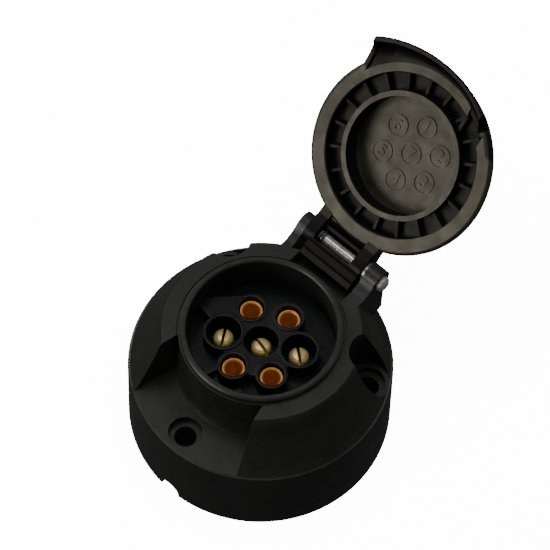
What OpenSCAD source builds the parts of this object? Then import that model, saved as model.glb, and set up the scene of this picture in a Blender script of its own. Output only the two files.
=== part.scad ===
// Trailer wiring connector: 7-contact flanged socket with a hinged lid.
// Units: mm. +Z runs out of the mouth and z = 0 is the mounting face.
// The hinge pin is parallel to X on the +Y side.
// Contacts sit on a hexagon: 4 at 90 deg, then 5, 6, 1, 2, 3 anticlockwise, and 7 in the middle.

/* [Body] */
// Radius of the skirt at the mounting face
base_r = 39.6; // [36:0.1:43]
// Radius of the skirt at the shoulder
shoulder_r = 39.2; // [36:0.1:43]
// Height of the shoulder edge and of the recess floors
shoulder_z = 27.8; // [24:0.1:31]
// Skirt wall thickness
wall = 2.5; // [1.8:0.1:4]
// Height of the flat lobe tops
lobe_z = 46.7; // [42:0.1:52]
// Outer radius of the flat lobe tops
lobe_r = 29.8; // [27:0.1:33]
// Height of the mouth rim
rim_z = 48.4; // [44:0.1:54]
// Inner radius of the mouth
mouth_r = 21.9; // [20:0.05:24]
// Height at which the bore widens below the mouth
step_z = 41.0; // [38:0.1:43]
// Outer radius of the raised lip round the mouth
lip_r = 23.8; // [22:0.05:26]
// Radius of the collar under the lip
collar_r = 24.2; // [23:0.05:27]
// Radius of the collar where it meets the recess floors
collar_foot_r = 25.0; // [23:0.05:28]

/* [Mounting holes] */
// Radius of the circle through the three mounting holes
hole_circle_r = 32.33; // [28:0.01:36]
// Radius of a mounting hole
hole_r = 3.3; // [2:0.05:4.5]
// Radius of the counterbore over a hole
cbore_r = 5.1; // [4:0.05:7]
// Height of the counterbore floor
cbore_z = 25.1; // [20:0.1:27]
// Radius of the two scallops beside the hinge lobe
scallop_r = 6.5; // [5:0.1:9]

/* [Front recess] */
// Half width of the front recess at the collar
recess_in = 16.6; // [12:0.1:20]
// Half width of the front recess at the shoulder
recess_out = 20.6; // [15:0.1:26]

/* [Contacts] */
// Radius of the circle of six contacts
contact_circle_r = 11.4; // [9:0.05:13]
// Outer radius of a sleeve contact
sleeve_r = 3.25; // [2.5:0.05:4]
// Bore radius of a sleeve contact
sleeve_bore_r = 2.62; // [2:0.01:3]
// Height of the sleeve mouths
sleeve_z = 38.3; // [34:0.1:44]
// Radius of a pin contact
pin_r = 2.9; // [2:0.05:3.5]
// Height of the pin tips
pin_z = 37.7; // [34:0.1:46]
// Length of the slot in a pin
slot_depth = 7.5; // [3:0.1:10]
// Width of the slot in a pin
slot_w = 0.9; // [0.4:0.05:1.5]
// Turn of the whole contact pattern about the axis
contact_turn = -2.5; // [-5:0.1:5]

/* [Insert] */
// Height of the mouth floor
floor_z = 34.2; // [30:0.1:38]
// Height of the web between the towers
web_z = 39.6; // [36:0.1:42]
// Height of the tower rims
tower_z = 40.3; // [37:0.1:43]
// Radius of a sleeve tower
tower_r = 4.75; // [4:0.05:6]
// Clear radius inside a sleeve tower
tower_bore_r = 3.72; // [3.3:0.02:4.2]
// Radius of a pin tower
well_tower_r = 6.1; // [5:0.05:7]
// Clear radius inside a pin tower
well_r = 5.15; // [4:0.05:6]
// Radius that the web reaches between two towers
web_r = 11.5; // [10:0.1:13]

/* [Hinge] */
// Distance of the hinge pin from the socket axis
pin_y = 34.7; // [32:0.05:38]
// Height of the hinge pin
hinge_z = 48.0; // [46:0.05:52]
// Radius of the hinge pin
hinge_r = 1.6; // [1:0.05:2.5]
// Opening angle of the lid as drawn
open_deg = 134; // [0:1:140]

/* [Lid] */
// Radius of the lid
lid_r = 29.2; // [27:0.1:32]
// Height of the flange face when the lid is shut
seat_z = 47.05; // [46.8:0.05:48]
// Outer radius of the annular groove
groove_r = 24.2; // [23:0.1:27]
// Outer radius of the cup ring
ring_r = 18.95; // [17:0.05:20]
// Thickness of the cup ring
ring_w = 1.5; // [1:0.1:2.5]
// Depth of the cup below the flange face
cup_depth = 7.6; // [4:0.1:10]
// Depth of the groove below the flange face
groove_depth = 4.2; // [2:0.1:6]
// Wall thickness of the lid
lid_wall = 1.9; // [1.2:0.1:3]
// Number of ribs in the groove
rib_n = 20; // [12:1:30]
// Left end of the pull tab
tab_left = -24.2; // [-25:0.1:-22]
// Right end of the pull tab
tab_right = 16.4; // [14:0.1:16.6]
// Radius of the tab's rim on its right half
tab_r = 31.5; // [31:0.1:32]

/* [Hidden] */
$fa = 3;
$fs = 0.5;
fit = 0.05;
deg6 = 60;
holes = [270, 30, 150];
sleeves = [[1, 270], [2, 330], [4, 90], [5, 150]];
ear_r = 3.9;
knuckle_r = 4.4;
boss_r = 5.9;
cavity_r = base_r - wall - 0.3;
cavity_top = 25.9;
seat_r = 22.4;
insert_r = seat_r - 0.12;
bayonet_z = 30.0;
insert_bottom = 26.2;
plate_z = 23.2;
tail_z = 11.5;
pin_seat_r = 2.2;
pin_well_z = 31.0;
// Widths of the hinge along X: ears, lid knuckles and the recess between the ears.
ear_left = [-15.3, -12.4];
ear_right = [10.6, 15.2];
knuckle_left = [-12.1, -8.4];
knuckle_right = [5.6, 9.5];
slot_left = -9.7;
tab_steps = 14;
tab_wall_end = tab_left + 1.3;
tab_seam = -17.6;

module at_polar(a, r) {
  rotate([0, 0, a])
    translate([r, 0, 0])
      children();
}

// A rotated solid from a list of [radius, height] points.
module turned(points) {
  rotate_extrude()
    polygon(points);
}

// Everything standing over the plan of the front recess, less the collar.
module front_recess(grow, foot, z0) {
  half_in = recess_in + grow;
  half_out = recess_out + grow;
  difference() {
    translate([0, 0, z0])
      linear_extrude(40)
        difference() {
          union() {
            polygon([[-half_in, -17 + grow], [-half_out, -34], [-half_out - 2, -46],
              [half_out + 2, -46], [half_out, -34], [half_in, -17 + grow]]);
            translate([-half_in + 2.6, -19])
              circle(r = 3.1);
            translate([half_in - 2.6, -19])
              circle(r = 3.1);
          }
          circle(r = foot);
        }
  }
}

// The flared foot of the collar, kept where a recess would cut it.
module collar_solid() {
  turned([[20, shoulder_z - 2], [collar_foot_r + 0.6, shoulder_z - 2], [collar_foot_r + 0.5, shoulder_z],
    [collar_foot_r, shoulder_z + 1.2], [collar_r + 0.1, shoulder_z + 8], [collar_r, lobe_z - 0.4],
    [lip_r, lobe_z - 0.4], [lip_r, rim_z - 0.5], [lip_r - 0.5, rim_z], [20, rim_z]]);
}

module lobe_solid(inset, top, low) {
  turned([[20, low], [shoulder_r - 0.7 - inset, low], [shoulder_r - 0.8 - inset, shoulder_z + 0.07],
    [36.7 - inset, shoulder_z + 2.6], [33.7 - inset, shoulder_z + 8.6], [31.3 - inset, shoulder_z + 14],
    [lobe_r + 0.3 - inset, top - 1.4], [lobe_r - 0.8 - inset, top], [20, top]]);
}

module skirt_solid() {
  turned([[0, 0], [base_r - 0.4, 0], [base_r, 0.4], [shoulder_r + 0.05, shoulder_z - 1.2],
    [shoulder_r - 0.25, shoulder_z - 0.35], [shoulder_r - 0.9, shoulder_z], [0, shoulder_z]]);
}

// One hinge ear: a round eye on a web that runs down into the hinge lobe.
module ear(span, r) {
  translate([span[0], 0, 0])
    rotate([90, 0, 90])
      linear_extrude(span[1] - span[0]) {
        translate([pin_y, hinge_z])
          circle(r = r);
        polygon([[24.5, lobe_z - 3], [24.5, lobe_z], [27.2, lobe_z], [pin_y - 4.6, hinge_z + 0.4],
          [pin_y - 0.55 * r, hinge_z + 0.8 * r], [pin_y, hinge_z], [pin_y + 0.96 * r, hinge_z - 0.2 * r],
          [pin_y + 0.8 * r, hinge_z - 0.9 * r], [pin_y + 1.6, hinge_z - 7.5], [36.2, 32], [30, 30]]);
      }
}

// Room between the ears for the lid's knuckles and tail, open to the collar in front.
module hinge_slot() {
  width = ear_right[0] - ear_left[1];
  tail_width = ear_right[0] - slot_left;
  translate([slot_left, pin_y, hinge_z])
    rotate([0, 90, 0])
      cylinder(r = 8.9, h = tail_width);
  translate([ear_left[1], pin_y, hinge_z])
    rotate([0, 90, 0])
      cylinder(r = 5.2, h = width);
  difference() {
    translate([slot_left, 17, 41.4])
      cube([tail_width, 40, 20]);
    cylinder(r = collar_r + 0.4, h = 60);
  }
  translate([ear_left[1], pin_y, 39.1])
    cube([width, 20, 20]);
}

module housing() {
  color([0.09, 0.09, 0.085])
    difference() {
      union() {
        skirt_solid();
        difference() {
          lobe_solid(0, lobe_z, shoulder_z - 3);
          front_recess(0, collar_r - 0.2, shoulder_z);
          for (a = [30, 150])
            at_polar(a, hole_circle_r)
              translate([0, 0, shoulder_z])
                cylinder(r = scallop_r, h = 40);
          turned([[lip_r, lobe_z - 0.6], [lip_r + 0.8, lobe_z - 0.6], [lip_r + 1.2, lobe_z + 1],
            [lip_r, lobe_z + 1]]);
        }
        collar_solid();
        ear(ear_left, ear_r - 0.3);
        ear(ear_right, ear_r);
      }
      // Mouth, insert seat and the cavity behind it.
      translate([0, 0, -1])
        cylinder(r = mouth_r, h = rim_z + 2);
      translate([0, 0, -1])
        cylinder(r = seat_r, h = step_z + 1);
      turned([[0, rim_z - 0.45], [mouth_r, rim_z - 0.45], [mouth_r + 0.5, rim_z + 0.1], [0, rim_z + 0.1]]);
      translate([0, 0, -1])
        cylinder(r = 23.7, h = bayonet_z + 1);
      turned_cavity();
      // Recess around the hinge.
      hinge_slot();
      translate([-20, pin_y, hinge_z])
        rotate([0, 90, 0])
          cylinder(r = hinge_r + fit, h = 40);
      // Mounting holes with their counterbores.
      for (a = holes)
        at_polar(a, hole_circle_r) {
          translate([0, 0, -1])
            cylinder(r = hole_r, h = 40);
          translate([0, 0, cbore_z])
            cylinder(r = cbore_r, h = 14);
        }
      // Pilot holes for the retainer screws.
      for (a = [90, 210, 330])
        at_polar(a, 25.7)
          translate([0, 0, 20])
            cylinder(r = 1.25, h = 14);
      // Drain notch in the rim.
      translate([0, -base_r + 5, 1.2])
        rotate([90, 0, 0])
          cylinder(r = 3.4, h = 10);
      translate([-3.4, -base_r - 3, -1])
        cube([6.8, 8, 2.2]);
    }
}

// The hollow behind the deck, with the mounting bosses and the ring round the insert left standing.
module turned_cavity() {
  difference() {
    union() {
      translate([0, 0, -1])
        cylinder(r = cavity_r, h = cavity_top + 1);
      difference() {
        lobe_solid(2.6, lobe_z - 2.6, shoulder_z - 3);
        front_recess(2.5, 20, shoulder_z - 4);
        for (a = [30, 150])
          at_polar(a, hole_circle_r)
            cylinder(r = scallop_r + 2.4, h = 60);
        translate([-20, 21, 20])
          cube([40, 30, 40]);
      }
    }
    translate([0, 0, cavity_top])
      cylinder(r = 27.4, h = 40);
    for (a = holes)
      at_polar(a, hole_circle_r)
        translate([0, 0, -2])
          cylinder(r = boss_r, h = 60);
  }
}

// Everything that follows the turned contact pattern.
module pattern() {
  rotate([0, 0, contact_turn])
    children();
}

module contact_insert() {
  wells = [[0, 0], [30, contact_circle_r], [210, contact_circle_r]];
  web_h = web_z - floor_z + 0.1;
  color([0.11, 0.11, 0.105])
    pattern()
      difference() {
        union() {
          translate([0, 0, insert_bottom])
            cylinder(r = 23.55, h = bayonet_z - insert_bottom - 0.05);
          translate([0, 0, bayonet_z - 0.1])
            cylinder(r = insert_r, h = floor_z - bayonet_z + 0.1);
          for (s = sleeves)
            at_polar(s[1], contact_circle_r)
              translate([0, 0, floor_z - 0.1])
                cylinder(r = tower_r, h = tower_z - floor_z + 0.1);
          for (a = [30, 210])
            at_polar(a, contact_circle_r)
              translate([0, 0, floor_z - 0.1])
                cylinder(r = well_tower_r, h = tower_z - floor_z + 0.1);
          // The web that joins the towers, notched between each pair.
          translate([0, 0, floor_z - 0.1])
            linear_extrude(web_h)
              polygon([for (k = [0:5], half = [0, 1])
                let (r = half == 0 ? contact_circle_r : web_r, a = 30 + deg6 * (k + half / 2))
                [r * cos(a), r * sin(a)]]);
          // Wing of the web that reaches the wall between contacts 5 and 6.
          intersection() {
            cylinder(r = insert_r, h = 60);
            translate([0, 0, floor_z - 0.1])
              linear_extrude(web_h)
                polygon([[contact_circle_r * cos(210), contact_circle_r * sin(210)], [-23, -4.4],
                  [-21.6, -1],
                  [-10.9, 10.9], [contact_circle_r * cos(150), contact_circle_r * sin(150)]]);
          }
          // Two low ribs from the towers to the wall.
          for (rib = [[253, 13.5], [292, 15.5]])
            at_polar(rib[0], rib[1])
              translate([0, -0.8, floor_z - 0.1])
                cube([insert_r - 0.3 - rib[1], 1.6, 2.6]);
        }
        for (s = sleeves)
          at_polar(s[1], contact_circle_r) {
            cylinder(r = sleeve_r + fit, h = 60);
            translate([0, 0, floor_z - 1])
              cylinder(r = tower_bore_r, h = 20);
            cylinder(r = 4.05, h = insert_bottom + 1.5);
          }
        for (w = wells)
          at_polar(w[0], w[1]) {
            cylinder(r = pin_seat_r + fit, h = 60);
            translate([0, 0, pin_well_z])
              cylinder(r = well_r, h = 20);
            cylinder(r = 4.05, h = insert_bottom + 1.5);
          }
      }
}

module retainer_plate() {
  color([0.13, 0.13, 0.125])
    difference() {
      translate([0, 0, plate_z])
        cylinder(r = 28.2, h = 2.6);
      pattern()
        for (k = [0:6])
          at_polar(30 + deg6 * k, k == 6 ? 0 : contact_circle_r)
            cylinder(r = 3.45, h = 60);
      for (a = [90, 210, 330])
        at_polar(a, 25.7)
          cylinder(r = 1.7, h = 60);
      for (a = holes)
        at_polar(a, hole_circle_r)
          cylinder(r = 6.3, h = 60);
    }
}

// Tail behind the plate: wire bore from below and a tapped cross hole for the clamp screw.
module tail_cuts(a) {
  translate([0, 0, tail_z - 1])
    cylinder(r = 1.6, h = 9.5);
  rotate([0, 0, a])
    translate([0, 0, tail_z + 4])
      rotate([0, 90, 0])
        cylinder(r = 1.2, h = 10);
}

module sleeve_contact(a) {
  color([0.72, 0.42, 0.20])
    at_polar(a + contact_turn, contact_circle_r)
      difference() {
        union() {
          translate([0, 0, tail_z])
            cylinder(r = 3.2, h = 12);
          translate([0, 0, tail_z + 11.9])
            cylinder(r = sleeve_r, h = sleeve_z - tail_z - 11.9);
          translate([0, 0, plate_z + 2.65])
            cylinder(r = 3.95, h = insert_bottom + 1.45 - plate_z - 2.65);
        }
        translate([0, 0, 22.5])
          cylinder(r = sleeve_bore_r, h = 30);
        turned([[0, sleeve_z - 0.4], [sleeve_bore_r, sleeve_z - 0.4], [sleeve_bore_r + 0.4, sleeve_z + 0.1],
          [0, sleeve_z + 0.1]]);
        tail_cuts(0);
      }
}

module pin_contact(a, r, slot_a) {
  color([0.80, 0.68, 0.38])
    at_polar(a + contact_turn, r)
      difference() {
        union() {
          translate([0, 0, tail_z])
            cylinder(r = 3.2, h = 12);
          turned([[0, tail_z + 11.9], [pin_seat_r, tail_z + 11.9], [pin_seat_r, pin_well_z + 0.2],
            [pin_r, pin_well_z + 0.2], [pin_r, pin_z - 1.3], [pin_r - 0.35, pin_z - 0.65],
            [pin_r - 1.1, pin_z - 0.22], [0, pin_z]]);
          translate([0, 0, plate_z + 2.65])
            cylinder(r = 3.95, h = insert_bottom + 1.45 - plate_z - 2.65);
        }
        rotate([0, 0, slot_a - a - contact_turn])
          translate([-5, -slot_w / 2, pin_z - slot_depth])
            cube([10, slot_w, 20]);
        tail_cuts(0);
      }
}

module terminal_screw(a, r) {
  color([0.62, 0.60, 0.52])
    at_polar(a + contact_turn, r)
      translate([1.65, 0, tail_z + 4])
        rotate([0, 90, 0])
          difference() {
            union() {
              cylinder(r = 1.17, h = 2.3);
              translate([0, 0, 1.6])
                cylinder(r = 2.0, h = 1.5);
            }
            translate([-3, -0.3, 2.4])
              cube([6, 0.6, 2]);
          }
}

module insert_screws() {
  color([0.66, 0.66, 0.64])
    for (a = [90, 210, 330])
      at_polar(a, 25.7)
        difference() {
          union() {
            translate([0, 0, plate_z - 1.9])
              cylinder(r = 2.6, h = 1.88);
            translate([0, 0, plate_z - 0.5])
              cylinder(r = 1.2, h = 10.2);
          }
          translate([-3, -0.35, plate_z - 2.5])
            cube([6, 0.7, 1.3]);
        }
}

module hinge_pin() {
  color([0.75, 0.75, 0.76])
    translate([0, pin_y, hinge_z])
      rotate([0, 90, 0]) {
        translate([0, 0, -14.9])
          cylinder(r = hinge_r, h = 31.6);
        translate([0, 0, ear_right[1] + 0.05])
          turned([[0, 0], [2.35, 0], [2.5, 0.5], [2.3, 1.3], [1.5, 1.9], [0, 2.1]]);
      }
}

module hinge_washers() {
  color([0.70, 0.70, 0.70])
    for (x = [9.62, 10.14])
      translate([x, pin_y, hinge_z])
        rotate([0, 90, 0])
          difference() {
            cylinder(r = 3.0, h = 0.36);
            translate([0, 0, -1])
              cylinder(r = hinge_r + fit, h = 3);
          }
}

// The lid is drawn shut, then turned open about the pin.
module opened() {
  translate([0, pin_y, hinge_z])
    rotate([-open_deg, 0, 0])
      translate([0, -pin_y, -hinge_z])
        children();
}

module lid_shell() {
  edge = 1.3;
  turned(concat([[0, seat_z + cup_depth], [ring_r - ring_w, seat_z + cup_depth], [ring_r - ring_w, seat_z],
    [ring_r, seat_z], [ring_r, seat_z + groove_depth], [groove_r, seat_z + groove_depth],
    [groove_r, seat_z + 0.3], [groove_r + 0.3, seat_z]],
    [for (a = [0:15:90]) [lid_r - edge + edge * sin(a), seat_z + edge - edge * cos(a)]],
    [[lid_r - 0.5, seat_z + 2.6], [lid_r - 1.6, seat_z + 4.2],
      [groove_r + 1, seat_z + groove_depth + lid_wall],
      [ring_r + 1.4, seat_z + groove_depth + lid_wall], [ring_r - 0.4, seat_z + cup_depth + lid_wall],
      [0, seat_z + cup_depth + lid_wall + 0.6]]));
}

// Radius of the tab's rim at x: constant on the right, swelling towards the left end.
function tab_rim(x) = tab_r + 0.00405 * pow(max(0, 6 - x), 2) - 0.04 * max(0, x - 6);

// One cross-section of the tab as [radius, height] points: hollow underside first, then rim and back.
// base is where the hollow starts, sunk how far it starts below the flange face.
function tab_points(x, base, sunk) =
  let (rim = tab_rim(x), drop = 4.2 + 0.05 * x, start = seat_z + sunk + 0.03,
    back = 0.6 + min(1, max(0, (x + 20) / 25)))
  concat([[25.6, start + 0.5]],
    [for (u = [0, 0.35, 0.6, 0.8, 0.93, 1])
      [base + (rim - 1.3 - base) * u, start - (sunk + drop) * (1 - sqrt(1 - u * u))]],
    [[rim - 0.35, seat_z - drop - 0.12], [rim, seat_z - drop + 0.45], [rim - back, seat_z],
      [rim - back - 1.5, seat_z + 2.1], [25.6, seat_z + 3.9]]);

// The stations along X: a flush end wall, the sunk left stretch, then the filleted right stretch.
tab_stations = concat([[tab_left - 0.8, 29.4, -0.2], [tab_wall_end - 0.05, 29.4, -0.2],
  [tab_wall_end, 26.9, 1.6]],
  [for (k = [1:3]) [tab_wall_end + (tab_seam - tab_wall_end) * k / 3, 26.9, 1.6]],
  [for (k = [0:tab_steps]) [tab_seam + 0.05 + (tab_right - tab_seam - 0.05) * k / tab_steps, 26.4, 0]]);

module lid_tab() {
  n = len(tab_stations);
  m = len(tab_points(0, 26.4, 0));
  points = [for (t = tab_stations, p = tab_points(t[0], t[1], t[2])) [t[0],
    -sqrt(p[0] * p[0] - t[0] * t[0]), p[1]]];
  sides = [for (i = [0:n - 2], j = [0:m - 1], half = [0, 1])
    let (a = i * m + j, b = i * m + (j + 1) % m)
    half == 0 ? [a, b, a + m] : [b, b + m, a + m]];
  intersection() {
    polyhedron(points, concat(sides,
      [[for (j = [m - 1:-1:0]) j]], [[for (j = [0:m - 1]) (n - 1) * m + j]]));
    translate([tab_left, -60, 0])
      cube([60, 60, 100]);
  }
}

// Two hinge arms with a barrel between them that wraps the pin.
// The barrel opens towards the mouth side and ends in a ridged tail.
module lid_hinge() {
  for (span = [knuckle_left, knuckle_right])
    translate([span[0], 0, 0])
      rotate([90, 0, 90])
        linear_extrude(span[1] - span[0]) {
          translate([pin_y, hinge_z])
            circle(r = knuckle_r);
          polygon([[24.8, seat_z + 0.3], [26.6, seat_z - 0.03], [28.6, seat_z - 0.6], [30.4, hinge_z - 2.9],
            [pin_y - 2.2, hinge_z - 3.8], [pin_y, hinge_z], [pin_y + 1.6, hinge_z + 4.1],
              [30, seat_z + 5.4],
            [24.8, seat_z + 5.4]]);
        }
  translate([slot_left + 0.35, 0, 0])
    rotate([90, 0, 90])
      linear_extrude(knuckle_right[1] - slot_left - 0.35)
        difference() {
          union() {
            translate([pin_y, hinge_z])
              circle(r = knuckle_r - 0.1);
            polygon([[25.0, seat_z + 0.5], [28.6, seat_z + 0.7], [31.4, hinge_z + 1.2],
              [pin_y, hinge_z + 4.2],
              [30, seat_z + 5.2], [25.0, seat_z + 5.2]]);
            translate([pin_y, hinge_z])
              rotate(-10)
                polygon([[0, -4.3], [1.6, -4.3], [2.0, -4.75], [2.4, -4.3], [4.4, -4.3], [4.8, -4.75],
                  [5.2, -4.3],
                  [7.0, -4.2], [7.9, -2.6], [7.4, -0.6], [3.4, 2.4], [0, 2.0]]);
          }
          // Window through which the pin is seen.
          translate([pin_y, hinge_z])
            polygon([[0, 0], [-6.5, -1.2], [-6.5, -6], [0.5, -6.5], [0.5, -1]]);
        }
}

// Everything in the flange of the lid but outside the cup, from one x to another.
module flange_pocket(x0, x1, points) {
  intersection() {
    turned(points);
    translate([x0, -40, 0])
      cube([x1 - x0, 28, 80]);
  }
}

module lid_closed() {
  z = seat_z;
  difference() {
    union() {
      difference() {
        lid_shell();
        // Sunk stretch at the left of the tab, and the pocket at its right.
        flange_pocket(tab_wall_end + 0.01, tab_seam, [[26.9, z - 3], [32, z - 3], [32, z + 1.6],
          [26.9, z + 1.6]]);
        flange_pocket(11.1, 18.4, [[ring_r, z - 3], [32, z - 3], [32, z + 1.0], [28.0, z + 2.0],
          [26.0, z + 3.8],
          [ring_r, z + 4.1]]);
      }
      for (k = [0:rib_n - 1])
        rotate([0, 0, 7.5 + k * 360 / rib_n])
          translate([ring_r - 0.5, -0.45, z + 1.95])
            cube([groove_r - ring_r + 1, 0.9, groove_depth - 1.9]);
      lid_tab();
      lid_hinge();
      // Rings embossed on the cup floor.
      for (k = [0:6])
        at_polar(30 + deg6 * k, k == 6 ? 0 : 9.25)
          translate([0, 0, z + cup_depth - 0.35])
            difference() {
              cylinder(r = 3.35, h = 0.4);
              translate([0, 0, -1])
                cylinder(r = 2.95, h = 3);
            }
      // Wall between the tab's pocket and the ribs, stepped down where the socket's rim enters the groove.
      translate([9.9, -25.2, z - 0.6])
        cube([1.2, 2.4, groove_depth + 1]);
      translate([9.9, -24.6, z + 1.75])
        cube([1.2, 9.6, groove_depth - 1.5]);
    }
    // Pin bore through both arms.
    translate([-20, pin_y, hinge_z])
      rotate([0, 90, 0])
        cylinder(r = hinge_r + fit, h = 40);
    // Room round the pin and the spring between the arms.
    translate([knuckle_left[1] + 0.01, pin_y, hinge_z])
      rotate([0, 90, 0])
        cylinder(r = 3.2, h = knuckle_right[0] - knuckle_left[1] - 0.02);
  }
}

module lid() {
  color([0.10, 0.095, 0.085])
    opened()
      lid_closed();
}

module lid_spring() {
  color([0.78, 0.78, 0.78]) {
    for (k = [0:1])
      translate([knuckle_left[1] + 0.55 + k * 1.05, pin_y, hinge_z])
        rotate([0, 90, 0])
          rotate_extrude()
            translate([2.35, 0])
              circle(r = 0.42);
  }
}

housing();
contact_insert();
retainer_plate();
sleeve_contact(270);  // contact_1
sleeve_contact(330);  // contact_2
pin_contact(30, contact_circle_r, 141);  // contact_3
sleeve_contact(90);  // contact_4
sleeve_contact(150);  // contact_5
pin_contact(210, contact_circle_r, 121);  // contact_6
pin_contact(0, 0, 167);  // contact_7
terminal_screw(270, contact_circle_r);  // terminal_screw_1
terminal_screw(330, contact_circle_r);  // terminal_screw_2
terminal_screw(30, contact_circle_r);  // terminal_screw_3
terminal_screw(90, contact_circle_r);  // terminal_screw_4
terminal_screw(150, contact_circle_r);  // terminal_screw_5
terminal_screw(210, contact_circle_r);  // terminal_screw_6
terminal_screw(0, 0);  // terminal_screw_7
insert_screws();
hinge_pin();
hinge_washers();
lid();
lid_spring();
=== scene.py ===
"""Trailer wiring connector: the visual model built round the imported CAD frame.

The three big mouldings are rebuilt with rounded edges from copies of the CAD nodes, the lid gets
its raised numbers, the small parts keep their CAD shape, and every surface has its own material.
"""
import logging
import math
from dataclasses import dataclass, field
from enum import Enum

import bpy
from mathutils import Matrix, Vector


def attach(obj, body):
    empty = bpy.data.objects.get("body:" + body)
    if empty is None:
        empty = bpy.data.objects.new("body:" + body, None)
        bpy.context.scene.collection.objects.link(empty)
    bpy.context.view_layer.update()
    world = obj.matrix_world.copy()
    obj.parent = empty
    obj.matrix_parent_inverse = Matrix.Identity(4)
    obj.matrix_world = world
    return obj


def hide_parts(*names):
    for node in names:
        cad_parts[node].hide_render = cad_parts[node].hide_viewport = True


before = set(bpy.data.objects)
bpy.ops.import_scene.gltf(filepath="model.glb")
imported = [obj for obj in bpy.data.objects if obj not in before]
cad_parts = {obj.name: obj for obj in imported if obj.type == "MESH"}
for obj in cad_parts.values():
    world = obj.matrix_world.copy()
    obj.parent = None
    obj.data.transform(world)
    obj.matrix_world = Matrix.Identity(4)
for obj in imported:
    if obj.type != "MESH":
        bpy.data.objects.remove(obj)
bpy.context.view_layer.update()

MM = 0.001
LOG = logging.getLogger("connector")

Colour = tuple[float, float, float]
Point = tuple[float, float, float]
Socket = bpy.types.NodeSocket


class Body(str, Enum):
    """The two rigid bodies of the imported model."""

    SOCKET = "socket"
    LID = "lid"


# ---------------------------------------------------------------------------------------------
# Materials


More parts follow.
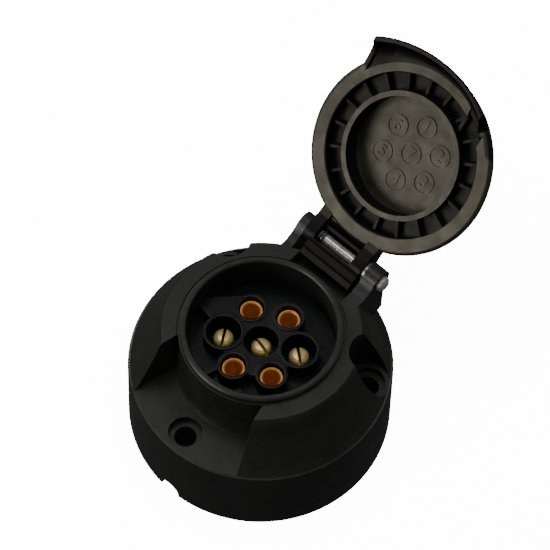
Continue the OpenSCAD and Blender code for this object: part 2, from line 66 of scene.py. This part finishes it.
class NodeSheet:
    """A material's node tree, with short calls to add and join nodes."""

    def __init__(self, name: str) -> None:
        """Makes the material and keeps its shader.

        Args:
            name: The material's name.
        """
        self.material = bpy.data.materials.new(name)
        self.material.use_nodes = True
        self.tree = self.material.node_tree
        self.shader = self.tree.nodes["Principled BSDF"]
        self.place = self.tree.nodes.new("ShaderNodeTexCoord").outputs["Object"]

    def add(self, kind: str, **values: object) -> bpy.types.Node:
        """Adds a node and sets its properties or input sockets.

        Args:
            kind: The node's type name.
            **values: Properties or inputs by name, with underscores for spaces.

        Returns:
            The new node.
        """
        node = self.tree.nodes.new(kind)
        for key, value in values.items():
            if hasattr(node, key):
                setattr(node, key, value)
            else:
                node.inputs[key.replace("_", " ")].default_value = value
        return node

    def join(self, source: Socket, target: Socket) -> None:
        """Links an output to an input."""
        self.tree.links.new(source, target)

    def noise(self, size_mm: float, detail: float = 4.0, rough: float = 0.6) -> Socket:
        """Adds noise on Object coordinates.

        Args:
            size_mm: The size of one blotch.
            detail: Octaves.
            rough: How strong the fine octaves are.

        Returns:
            The noise's factor.
        """
        node = self.add("ShaderNodeTexNoise", Scale=1.0 / (size_mm * MM), Detail=detail, Roughness=rough)
        self.join(self.place, node.inputs["Vector"])
        return node.outputs["Fac"]

    def ramp(self, source: Socket, stops: list[tuple[float, float]]) -> Socket:
        """Maps a factor through a grey ramp.

        Args:
            source: The factor.
            stops: Pairs of position and grey level.

        Returns:
            The ramp's colour.
        """
        node = self.add("ShaderNodeValToRGB")
        band = node.color_ramp.elements
        while len(band) < len(stops):
            band.new(0.5)
        for stop, (position, grey) in zip(band, stops):
            stop.position = position
            stop.color = (grey, grey, grey, 1.0)
        self.join(source, node.inputs["Fac"])
        return node.outputs["Color"]

    def mix(self, factor: Socket, low: object, high: object) -> Socket:
        """Mixes two colours, each a socket or a constant.

        Args:
            factor: Where the second colour shows.
            low: The first colour.
            high: The second colour.

        Returns:
            The mixed colour.
        """
        node = self.add("ShaderNodeMix", data_type="RGBA")
        self.join(factor, node.inputs[0])
        for value, socket in ((low, node.inputs[6]), (high, node.inputs[7])):
            if isinstance(value, Socket):
                self.join(value, socket)
            else:
                socket.default_value = (*value, 1.0)
        return node.outputs[2]

    def steps(self, source: Socket, start: float, end: float) -> Socket:
        """Runs smoothly from 0 at one value to 1 at another.

        Args:
            source: The value to follow.
            start: Where the factor is 0.
            end: Where it is 1; it may be less than start.

        Returns:
            The factor.
        """
        node = self.add("ShaderNodeMapRange", From_Min=start, From_Max=end)
        node.interpolation_type = "SMOOTHSTEP"
        self.join(source, node.inputs["Value"])
        return node.outputs["Result"]

    def blend(self, factor: Socket, low: float, high: float) -> Socket:
        """Mixes two plain values by a factor.

        Args:
            factor: 0 to 1.
            low: The value at 0.
            high: The value at 1.

        Returns:
            The mixed value.
        """
        node = self.add("ShaderNodeMapRange", To_Min=low, To_Max=high)
        self.join(factor, node.inputs["Value"])
        return node.outputs["Result"]

    def larger(self, first: Socket, second: Socket) -> Socket:
        """Takes the larger of two factors.

        Args:
            first: One factor.
            second: The other.

        Returns:
            The larger one.
        """
        node = self.add("ShaderNodeMath", operation="MAXIMUM")
        self.join(first, node.inputs[0])
        self.join(second, node.inputs[1])
        return node.outputs[0]

    def product(self, first: Socket, second: Socket) -> Socket:
        """Multiplies two factors.

        Args:
            first: One factor.
            second: The other.

        Returns:
            Their product.
        """
        node = self.add("ShaderNodeMath", operation="MULTIPLY")
        self.join(first, node.inputs[0])
        self.join(second, node.inputs[1])
        return node.outputs[0]

    def bump(self, height: Socket, depth_mm: float, under: object = None) -> Socket:
        """Adds a bump.

        Args:
            height: The height factor, 0 to 1.
            depth_mm: The height that 1 stands for.
            under: A normal to add to, if any.

        Returns:
            The bumped normal.
        """
        node = self.add("ShaderNodeBump", Strength=1.0, Distance=depth_mm * MM)
        self.join(height, node.inputs["Height"])
        if under is not None:
            self.join(under, node.inputs["Normal"])
        return node.outputs["Normal"]

    def edges(self, radius_mm: float) -> Socket:
        """Finds convex and concave edges.

        Args:
            radius_mm: How far from an edge the mask reaches.

        Returns:
            A factor that is high at edges.
        """
        bevel = self.add("ShaderNodeBevel", samples=6, Radius=radius_mm * MM)
        face = self.add("ShaderNodeNewGeometry")
        dot = self.add("ShaderNodeVectorMath", operation="DOT_PRODUCT")
        self.join(bevel.outputs["Normal"], dot.inputs[0])
        self.join(face.outputs["Normal"], dot.inputs[1])
        return self.ramp(dot.outputs["Value"], [(0.80, 1.0), (0.985, 0.0)])


# The lid as it lies when shut, in mm: the pin's y and z, heights above the mounting face and radii.
LID_PIN = (34.7, 48.0)
LID_OPEN_DEG = 134.0
LID_SEAT_Z = 47.05
LID_FLOOR_Z = 54.65
LID_CUP_R = 17.45
LID_GROOVE_R = 24.2
LID_ROOF_Z = 52.1
LID_TAB_R = 26.9
LID_TAB_Y = -15.0
LID_HINGE_Y = 28.4
# Painted shade on the lid's plastic: a darker tone and a lower specular level for its shaded hollows and
# hinge arms.
PAINTED_SHADE_TONE = (0.0024, 0.0026, 0.0028)
PAINTED_SHADE_SPECULAR = 0.14


@dataclass(frozen=True)
class Plastic:
    """Satin moulded plastic: two close tones, a fine pebble, faint scuffs, dust, and paler edges that are
    partly wear and partly a painted highlight.
    """

    name: str
    dark: Colour
    pale: Colour
    edge: Colour
    roughness: float = 0.44
    spread: float = 0.07
    pebble_mm: float = 0.35
    pebble_depth_mm: float = 0.006
    specular: float = 0.42
    sheen: Colour = (1.0, 1.0, 1.0)
    cloud_mm: float = 11.0
    dust_mm: float = 0.55
    dust_gain: float = 4.0
    wear_mm: float = 2.2
    wear_reach_mm: float = 0.45
    scuff_mm: float = 4.5
    flow_mm: float = 17.0
    flow_depth_mm: float = 0.04

    def polish(self, sheet: NodeSheet) -> Socket | None:
        """Finds where shade is painted on as a darker tone; nowhere, unless a finish says otherwise."""
        return None

    def tone(self, sheet: NodeSheet) -> Socket:
        """Mixes the base colour: clouds, dust specks, and paler edges, partly wear and partly a painted
        highlight where rounded edges catch light.

        Args:
            sheet: The material's nodes.

        Returns:
            The colour.
        """
        cloud = sheet.ramp(sheet.noise(self.cloud_mm, detail=4.0), [(0.35, 0.0), (0.68, 1.0)])
        tone = sheet.mix(cloud, self.dark, self.pale)
        dust = sheet.ramp(sheet.noise(self.dust_mm, detail=1.0), [(0.775, 0.0), (0.83, 0.7)])
        tone = sheet.mix(dust, tone, tuple(self.dust_gain * level for level in self.edge))
        # Paler edges: patchy wear plus a painted highlight, the light that rounded edges catch.
        patches = sheet.ramp(sheet.noise(self.wear_mm), [(0.38, 0.25), (0.66, 1.0)])
        wear_and_highlight_edges = sheet.product(sheet.edges(self.wear_reach_mm), patches)
        return sheet.mix(wear_and_highlight_edges, tone, self.edge)

    def build(self) -> bpy.types.Material:
        """Makes the material."""
        sheet = NodeSheet(self.name)
        inputs = sheet.shader.inputs
        tone = self.tone(sheet)
        # Painted shade: where a finish gives a mask, the tone turns darker and the specular level drops.
        painted_shade = self.polish(sheet)
        if painted_shade is not None:
            tone = sheet.mix(painted_shade, tone, PAINTED_SHADE_TONE)
            level = sheet.blend(painted_shade, self.specular, PAINTED_SHADE_SPECULAR)
            sheet.join(level, inputs["Specular IOR Level"])
        else:
            inputs["Specular IOR Level"].default_value = self.specular
        inputs["Specular Tint"].default_value = (*self.sheen, 1.0)
        sheet.join(tone, inputs["Base Color"])
        low = self.roughness - self.spread
        high = self.roughness + self.spread
        scuffs = sheet.ramp(sheet.noise(self.scuff_mm, detail=5.0), [(0.3, low), (0.7, high)])
        sheet.join(scuffs, inputs["Roughness"])
        pebble = sheet.bump(sheet.noise(self.pebble_mm, detail=2.0), self.pebble_depth_mm)
        flow = sheet.bump(sheet.noise(self.flow_mm, detail=1.0), self.flow_depth_mm, pebble)
        sheet.join(flow, inputs["Normal"])
        return sheet.material


@dataclass(frozen=True)
class LidPlastic(Plastic):
    """The lid's plastic: its plain tone on the flange, the cup floor and the outside; painted shade
    elsewhere.
    """

    def shut_frame(self, sheet: NodeSheet) -> tuple[Socket, Socket, Socket]:
        """Turns Object coordinates into those of the shut lid.

        Args:
            sheet: The material's nodes.

        Returns:
            The reach from the mouth's axis, the y and the height z.
        """
        turn = math.radians(LID_OPEN_DEG)
        pin = Vector((0.0, LID_PIN[0] * MM, LID_PIN[1] * MM))
        shut = sheet.add("ShaderNodeMapping", vector_type="POINT")
        shut.inputs["Location"].default_value = pin - Matrix.Rotation(turn, 3, "X") @ pin
        shut.inputs["Rotation"].default_value = (turn, 0.0, 0.0)
        sheet.join(sheet.place, shut.inputs["Vector"])
        parts = sheet.add("ShaderNodeSeparateXYZ")
        sheet.join(shut.outputs["Vector"], parts.inputs["Vector"])
        flat = sheet.add("ShaderNodeCombineXYZ")
        sheet.join(parts.outputs["X"], flat.inputs["X"])
        sheet.join(parts.outputs["Y"], flat.inputs["Y"])
        reach = sheet.add("ShaderNodeVectorMath", operation="LENGTH")
        sheet.join(flat.outputs["Vector"], reach.inputs[0])
        return reach.outputs["Value"], parts.outputs["Y"], parts.outputs["Z"]

    def polish(self, sheet: NodeSheet) -> Socket | None:
        """Finds the faces that get painted shade, a darker tone and a lower specular level, by their place
        in the shut lid.

        Args:
            sheet: The material's nodes.

        Returns:
            A factor that is 1 in the groove, on the cup's wall, in the tab and on the hinge arms.
        """
        # Painted shade for the groove, the cup's wall, the tab's hollow and the hinge arms.
        reach, along, height = self.shut_frame(sheet)
        above = sheet.steps(height, (LID_SEAT_Z + 0.35) * MM, (LID_SEAT_Z + 0.9) * MM)
        beyond_cup = sheet.steps(reach, LID_CUP_R * MM, (LID_CUP_R + 0.2) * MM)
        within_groove = sheet.steps(reach, (LID_GROOVE_R + 0.6) * MM, (LID_GROOVE_R + 0.3) * MM)
        below_roof = sheet.steps(height, (LID_ROOF_Z + 0.3) * MM, (LID_ROOF_Z - 0.3) * MM)
        groove = sheet.product(sheet.product(beyond_cup, within_groove), below_roof)
        within_cup = sheet.steps(reach, (LID_CUP_R + 0.3) * MM, (LID_CUP_R + 0.2) * MM)
        wall = sheet.steps(height, (LID_FLOOR_Z - 0.3) * MM, (LID_FLOOR_Z - 1.6) * MM)
        inside = sheet.larger(groove, sheet.product(within_cup, wall))
        rim = sheet.steps(reach, LID_TAB_R * MM, (LID_TAB_R + 0.25) * MM)
        tab = sheet.product(rim, sheet.steps(along, LID_TAB_Y * MM, (LID_TAB_Y - 1.0) * MM))
        hinge = sheet.steps(along, LID_HINGE_Y * MM, (LID_HINGE_Y + 0.5) * MM)
        return sheet.larger(sheet.larger(tab, hinge), sheet.product(above, inside))


@dataclass(frozen=True)
class Metal:
    """Bare metal: base colour with tarnish, fine turning marks and uneven gloss."""

    name: str
    bright: Colour
    tarnish: Colour
    roughness: float = 0.25
    metallic: float = 1.0
    spread: float = 0.05
    marks_mm: float = 0.5
    marks_depth_mm: float = 0.0002
    stain_mm: float = 2.4
    polish_mm: float = 1.5

    def build(self) -> bpy.types.Material:
        """Makes the material."""
        sheet = NodeSheet(self.name)
        inputs = sheet.shader.inputs
        inputs["Metallic"].default_value = self.metallic
        stain = sheet.ramp(sheet.noise(self.stain_mm, detail=3.0), [(0.45, 0.0), (0.75, 1.0)])
        sheet.join(sheet.mix(stain, self.bright, self.tarnish), inputs["Base Color"])
        low = max(self.roughness - self.spread, 0.05)
        high = self.roughness + self.spread
        polish = sheet.ramp(sheet.noise(self.polish_mm, detail=3.0), [(0.3, low), (0.7, high)])
        sheet.join(polish, inputs["Roughness"])
        marks = sheet.bump(sheet.noise(self.marks_mm, detail=1.0), self.marks_depth_mm)
        sheet.join(marks, inputs["Normal"])
        return sheet.material


Finish = Plastic | Metal

HOUSING_BLACK = Plastic(
    "housing black plastic", dark=(0.0058, 0.0060, 0.0056), pale=(0.0092, 0.0090, 0.0082),
    edge=(0.022, 0.022, 0.021),
)
# Black plastic, made darker and less shiny than the housing as painted shade for the shaded floor of the
# mouth.
INSERT_BLACK_WITH_PAINTED_SHADE = Plastic(
    "insert black plastic with painted shade", dark=(0.0024, 0.0026, 0.0027), pale=(0.0042, 0.0044, 0.0043),
    edge=(0.020, 0.021, 0.020), roughness=0.36, specular=0.28,
)
PLATE_BLACK = Plastic(
    "plate dark grey plastic", dark=(0.013, 0.013, 0.014), pale=(0.018, 0.018, 0.018),
    edge=(0.05, 0.05, 0.05),
)
LID_BLACK = LidPlastic(
    "lid black plastic", dark=(0.0068, 0.0064, 0.0046), pale=(0.0118, 0.0108, 0.0072),
    edge=(0.032, 0.030, 0.022), roughness=0.42, sheen=(1.0, 0.93, 0.74),
)
COPPER = Metal(
    "sleeve copper", bright=(0.80, 0.37, 0.11), tarnish=(0.72, 0.32, 0.09), roughness=0.44,
    metallic=0.78, spread=0.02, marks_depth_mm=0.0,
)
BRASS = Metal(
    "pin brass", bright=(0.80, 0.60, 0.25), tarnish=(0.62, 0.44, 0.15), roughness=0.34, metallic=0.86,
)
PLATED = Metal("screw plating", bright=(0.62, 0.60, 0.52), tarnish=(0.45, 0.43, 0.37), roughness=0.32)
BRIGHT_STEEL = Metal(
    "hinge steel", bright=(0.72, 0.70, 0.67), tarnish=(0.50, 0.48, 0.46), roughness=0.30, metallic=0.9,
)
WIRE_STEEL = Metal("spring wire", bright=(0.50, 0.50, 0.49), tarnish=(0.34, 0.34, 0.33), roughness=0.30)


# ---------------------------------------------------------------------------------------------
# Mesh helpers

MERGE_MM = 0.002
FLAT_DEG = 0.3
SHARP_DEG = 32.0
SMOOTH_DEG = 34.0


def deselect() -> None:
    bpy.ops.object.select_all(action="DESELECT")


def make_active(piece: bpy.types.Object) -> None:
    """Selects one object alone and makes it active."""
    deselect()
    piece.select_set(True)
    bpy.context.view_layer.objects.active = piece


def settle(piece: bpy.types.Object) -> None:
    """Applies an object's place, so that it sits untransformed at the origin."""
    make_active(piece)
    bpy.ops.object.transform_apply(location=True, rotation=True, scale=True)


def dress(piece: bpy.types.Object, material: bpy.types.Material) -> None:
    """Gives a piece one material all over."""
    piece.data.materials.clear()
    piece.data.materials.append(material)


def apply_modifier(piece: bpy.types.Object, kind: str, **values: object) -> None:
    """Adds a modifier to the active object, sets it and applies it.

    Args:
        piece: The active object.
        kind: The modifier's type.
        **values: Its settings.
    """
    modifier = piece.modifiers.new(kind.lower(), kind)
    for key, value in values.items():
        setattr(modifier, key, value)
    bpy.ops.object.modifier_apply(modifier=modifier.name)


def rounded_copy(node: str, name: str, width_mm: float, flatten: bool) -> bpy.types.Object:
    """Copies a CAD node, joins its loose triangles into faces and rounds its edges.

    Args:
        node: The CAD node.
        name: The new piece's name.
        width_mm: How far the rounding reaches from an edge.
        flatten: Whether coplanar triangles become one face.

    Returns:
        The new piece, not yet riding on a body.
    """
    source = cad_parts[node]
    piece = bpy.data.objects.new(name, source.data.copy())
    bpy.context.scene.collection.objects.link(piece)
    make_active(piece)
    bpy.ops.object.mode_set(mode="EDIT")
    bpy.ops.mesh.select_all(action="SELECT")
    bpy.ops.mesh.remove_doubles(threshold=MERGE_MM * MM)
    if flatten:
        bpy.ops.mesh.dissolve_limited(angle_limit=math.radians(FLAT_DEG))
    bpy.ops.object.mode_set(mode="OBJECT")
    apply_modifier(
        piece, "BEVEL", width=width_mm * MM, segments=2, limit_method="ANGLE",
        angle_limit=math.radians(SHARP_DEG), miter_outer="MITER_ARC", use_clamp_overlap=True,
    )
    bpy.ops.object.shade_smooth_by_angle(angle=math.radians(SMOOTH_DEG))
    apply_modifier(piece, "WEIGHTED_NORMAL", mode="FACE_AREA_WITH_ANGLE", weight=80, keep_sharp=True)
    return piece


# ---------------------------------------------------------------------------------------------
# Sub-assemblies


@dataclass
class Moulding:
    """One moulded plastic part, rebuilt with rounded edges."""

    node: str
    piece_name: str
    body: Body
    finish: Plastic
    slot: str
    width_mm: float = 0.3
    flatten: bool = True

    def build(self) -> bpy.types.Object:
        """Builds, dresses and mounts the part.

        Returns:
            The finished piece.
        """
        piece = rounded_copy(self.node, self.piece_name, self.width_mm, self.flatten)
        dress(piece, self.finish.build())
        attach(piece, self.body.value)
        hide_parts(self.node)
        return piece


@dataclass
class CadFinishes:
    """CAD nodes whose shape is kept, with their finishes."""

    finishes: dict[str, Finish] = field(default_factory=dict)

    def build(self) -> None:
        """Gives each kept CAD node its material."""
        made: dict[str, bpy.types.Material] = {}
        for node, finish in self.finishes.items():
            if finish.name not in made:
                made[finish.name] = finish.build()
            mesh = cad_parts[node].data
            if not mesh.materials:
                mesh.materials.append(made[finish.name])
            for index in range(len(mesh.materials)):
                mesh.materials[index] = made[finish.name]
            LOG.info("%s: kept from the CAD, %s", node, finish.name)


@dataclass(frozen=True)
class Softbox:
    """A square area light: its place, side in metres, watts, and whether glossy surfaces show it."""

    name: str
    spot: Point
    side: float
    power: float
    sheen: bool = True


SOFTBOXES = (
    Softbox("key softbox", (-0.30, -0.82, 0.34), 0.45, 4.4),
    Softbox("side softbox", (-0.80, 0.05, 0.42), 0.40, 3.0),
    Softbox("high softbox", (-0.25, 0.08, 0.95), 0.22, 0.75),
    Softbox("back softbox", (0.55, 0.80, 0.55), 0.45, 1.6),
    Softbox("top panel", (0.0, 0.0, 1.6), 1.6, 50.0, sheen=False),
)


@dataclass
class Studio:
    """The pale floor, the soft lights and the camera."""

    azimuth_deg: float = 40.69
    elevation_deg: float = 60.37
    roll_deg: float = 2.08
    distance: float = 0.900
    lens_mm: float = 194.75
    sensor_mm: float = 36.0
    target: Point = (-0.01942, 0.02761, 0.020)
    middle: Point = (0.0, 0.015, 0.04)
    floor_size: float = 6.0
    surround: float = 0.06
    floor_glow: float = 14.0

    def axes(self) -> tuple[Vector, Vector, Vector]:
        """Works out the camera's right, up and back directions."""
        azimuth = math.radians(self.azimuth_deg)
        elevation = math.radians(self.elevation_deg)
        roll = math.radians(self.roll_deg)
        back = Vector((
            math.sin(azimuth) * math.cos(elevation),
            -math.cos(azimuth) * math.cos(elevation),
            math.sin(elevation),
        ))
        right = (-back).cross(Vector((0.0, 0.0, 1.0))).normalized()
        up = right.cross(-back)
        turned_right = right * math.cos(roll) + up * math.sin(roll)
        turned_up = up * math.cos(roll) - right * math.sin(roll)
        return turned_right, turned_up, back

    def camera(self) -> None:
        """Places the camera."""
        right, up, back = self.axes()
        data = bpy.data.cameras.new("camera")
        data.lens = self.lens_mm
        data.sensor_width = self.sensor_mm
        data.clip_start = 0.01
        camera = bpy.data.objects.new("camera", data)
        bpy.context.scene.collection.objects.link(camera)
        spot = Vector(self.target) + back * self.distance
        turn = Matrix((right, up, back)).transposed().to_4x4()
        camera.matrix_world = Matrix.Translation(spot) @ turn
        bpy.context.scene.camera = camera

    def floor(self) -> None:
        """Lays the floor under the mounting face."""
        deselect()
        bpy.ops.mesh.primitive_plane_add(size=self.floor_size, location=(0.0, 0.0, 0.0))
        floor = bpy.context.active_object
        floor.name = "floor"
        sheet = NodeSheet("pale floor")
        tone = sheet.mix(sheet.noise(400.0), (0.90, 0.90, 0.90), (0.93, 0.93, 0.93))
        sheet.join(tone, sheet.shader.inputs["Base Color"])
        sheet.join(tone, sheet.shader.inputs["Emission Color"])
        sheet.shader.inputs["Emission Strength"].default_value = self.floor_glow
        sheet.shader.inputs["Roughness"].default_value = 0.9
        dress(floor, sheet.material)
        settle(floor)
        floor.visible_glossy = False
        floor.visible_diffuse = False

    def light(self, box: Softbox) -> None:
        """Hangs one softbox, turned towards the part."""
        data = bpy.data.lights.new(box.name, "AREA")
        data.size = box.side
        data.energy = box.power
        lamp = bpy.data.objects.new(box.name, data)
        bpy.context.scene.collection.objects.link(lamp)
        lamp.visible_glossy = box.sheen
        aim = Vector(self.middle) - Vector(box.spot)
        lamp.matrix_world = Matrix.Translation(box.spot) @ aim.to_track_quat("-Z", "Y").to_matrix().to_4x4()

    def world(self) -> None:
        """Sets an even pale surround."""
        surround = bpy.data.worlds.new("surround")
        surround.use_nodes = True
        back = surround.node_tree.nodes["Background"]
        back.inputs["Color"].default_value = (1.0, 1.0, 1.0, 1.0)
        back.inputs["Strength"].default_value = self.surround
        bpy.context.scene.world = surround

    def build(self) -> None:
        """Sets up floor, world, lights and camera."""
        self.floor()
        self.world()
        for box in SOFTBOXES:
            self.light(box)
        self.camera()


CONTACTS = range(1, 8)
CENTRE_CONTACT = 7
CONTACT_STEP_DEG = 60.0


@dataclass
class LidDigits:
    """Raised contact numbers inside the rings on the lid's cup floor."""

    body: Body
    finish: Plastic
    slot: str
    ring_radius_mm: float = 9.25
    type_mm: float = 5.04
    relief_mm: float = 0.3

    def closed_spot(self, number: int) -> Vector:
        """Finds a number's place on the cup floor of the shut lid.

        Args:
            number: The contact's number, 1 to 7.

        Returns:
            The middle of its ring.
        """
        if number == CENTRE_CONTACT:
            return Vector((0.0, 0.0, LID_FLOOR_Z * MM))
        angle = math.radians(CONTACT_STEP_DEG * (number - 1) - 90.0)
        reach = self.ring_radius_mm * MM
        return Vector((reach * math.cos(angle), reach * math.sin(angle), LID_FLOOR_Z * MM))

    def digit(self, number: int) -> bpy.types.Object:
        """Makes one number, facing down in the shut lid, then swung open with it.

        Args:
            number: The contact's number.

        Returns:
            The number's mesh, at its place in the open lid.
        """
        deselect()
        bpy.ops.object.text_add(location=(0.0, 0.0, 0.0))
        piece = bpy.context.active_object
        piece.data.body = str(number)
        piece.data.size = self.type_mm * MM
        piece.data.extrude = self.relief_mm * MM
        piece.data.align_x = "CENTER"
        piece.data.align_y = "CENTER"
        piece.data.resolution_u = 5
        bpy.ops.object.convert(target="MESH")
        piece = bpy.context.active_object
        pin = Matrix.Translation((0.0, LID_PIN[0] * MM, LID_PIN[1] * MM))
        swing = pin @ Matrix.Rotation(math.radians(-LID_OPEN_DEG), 4, "X") @ pin.inverted()
        flip = Matrix.Rotation(math.pi, 4, "X")
        piece.matrix_world = swing @ Matrix.Translation(self.closed_spot(number)) @ flip
        settle(piece)
        return piece

    def build(self) -> bpy.types.Object:
        """Makes the seven numbers and joins them.

        Returns:
            The finished piece.
        """
        digits = [self.digit(number) for number in CONTACTS]
        deselect()
        for digit in digits:
            digit.select_set(True)
        piece = digits[-1]
        bpy.context.view_layer.objects.active = piece
        bpy.ops.object.join()
        piece.name = "lid_digits"
        dress(piece, self.finish.build())
        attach(piece, self.body.value)
        return piece


SLEEVES = (1, 2, 4, 5)
PINS = (3, 6, 7)


def main() -> None:
    """Builds the sub-assemblies in order."""
    logging.basicConfig(level=logging.INFO, format="%(name)s %(message)s")
    Studio().build()
    Moulding(
        "housing", "housing_body", Body.SOCKET, HOUSING_BLACK, "housing_plastic", width_mm=0.35
    ).build()
    Moulding(
        "contact_insert", "insert_block", Body.SOCKET, INSERT_BLACK_WITH_PAINTED_SHADE, "insert_plastic", width_mm=0.22,
        flatten=False,
    ).build()
    Moulding("lid", "lid_cover", Body.LID, LID_BLACK, "lid_plastic", width_mm=0.30).build()
    LidDigits(Body.LID, LID_BLACK, "lid_plastic").build()
    kept: dict[str, Finish] = {"retainer_plate": PLATE_BLACK, "insert_screws": PLATED}
    kept |= {"hinge_pin": BRIGHT_STEEL, "hinge_washers": BRIGHT_STEEL, "lid_spring": WIRE_STEEL}
    kept |= {f"contact_{number}": COPPER for number in SLEEVES}
    kept |= {f"contact_{number}": BRASS for number in PINS}
    kept |= {f"terminal_screw_{number}": PLATED for number in CONTACTS}
    CadFinishes(kept).build()


if __name__ == "__main__":
    main()
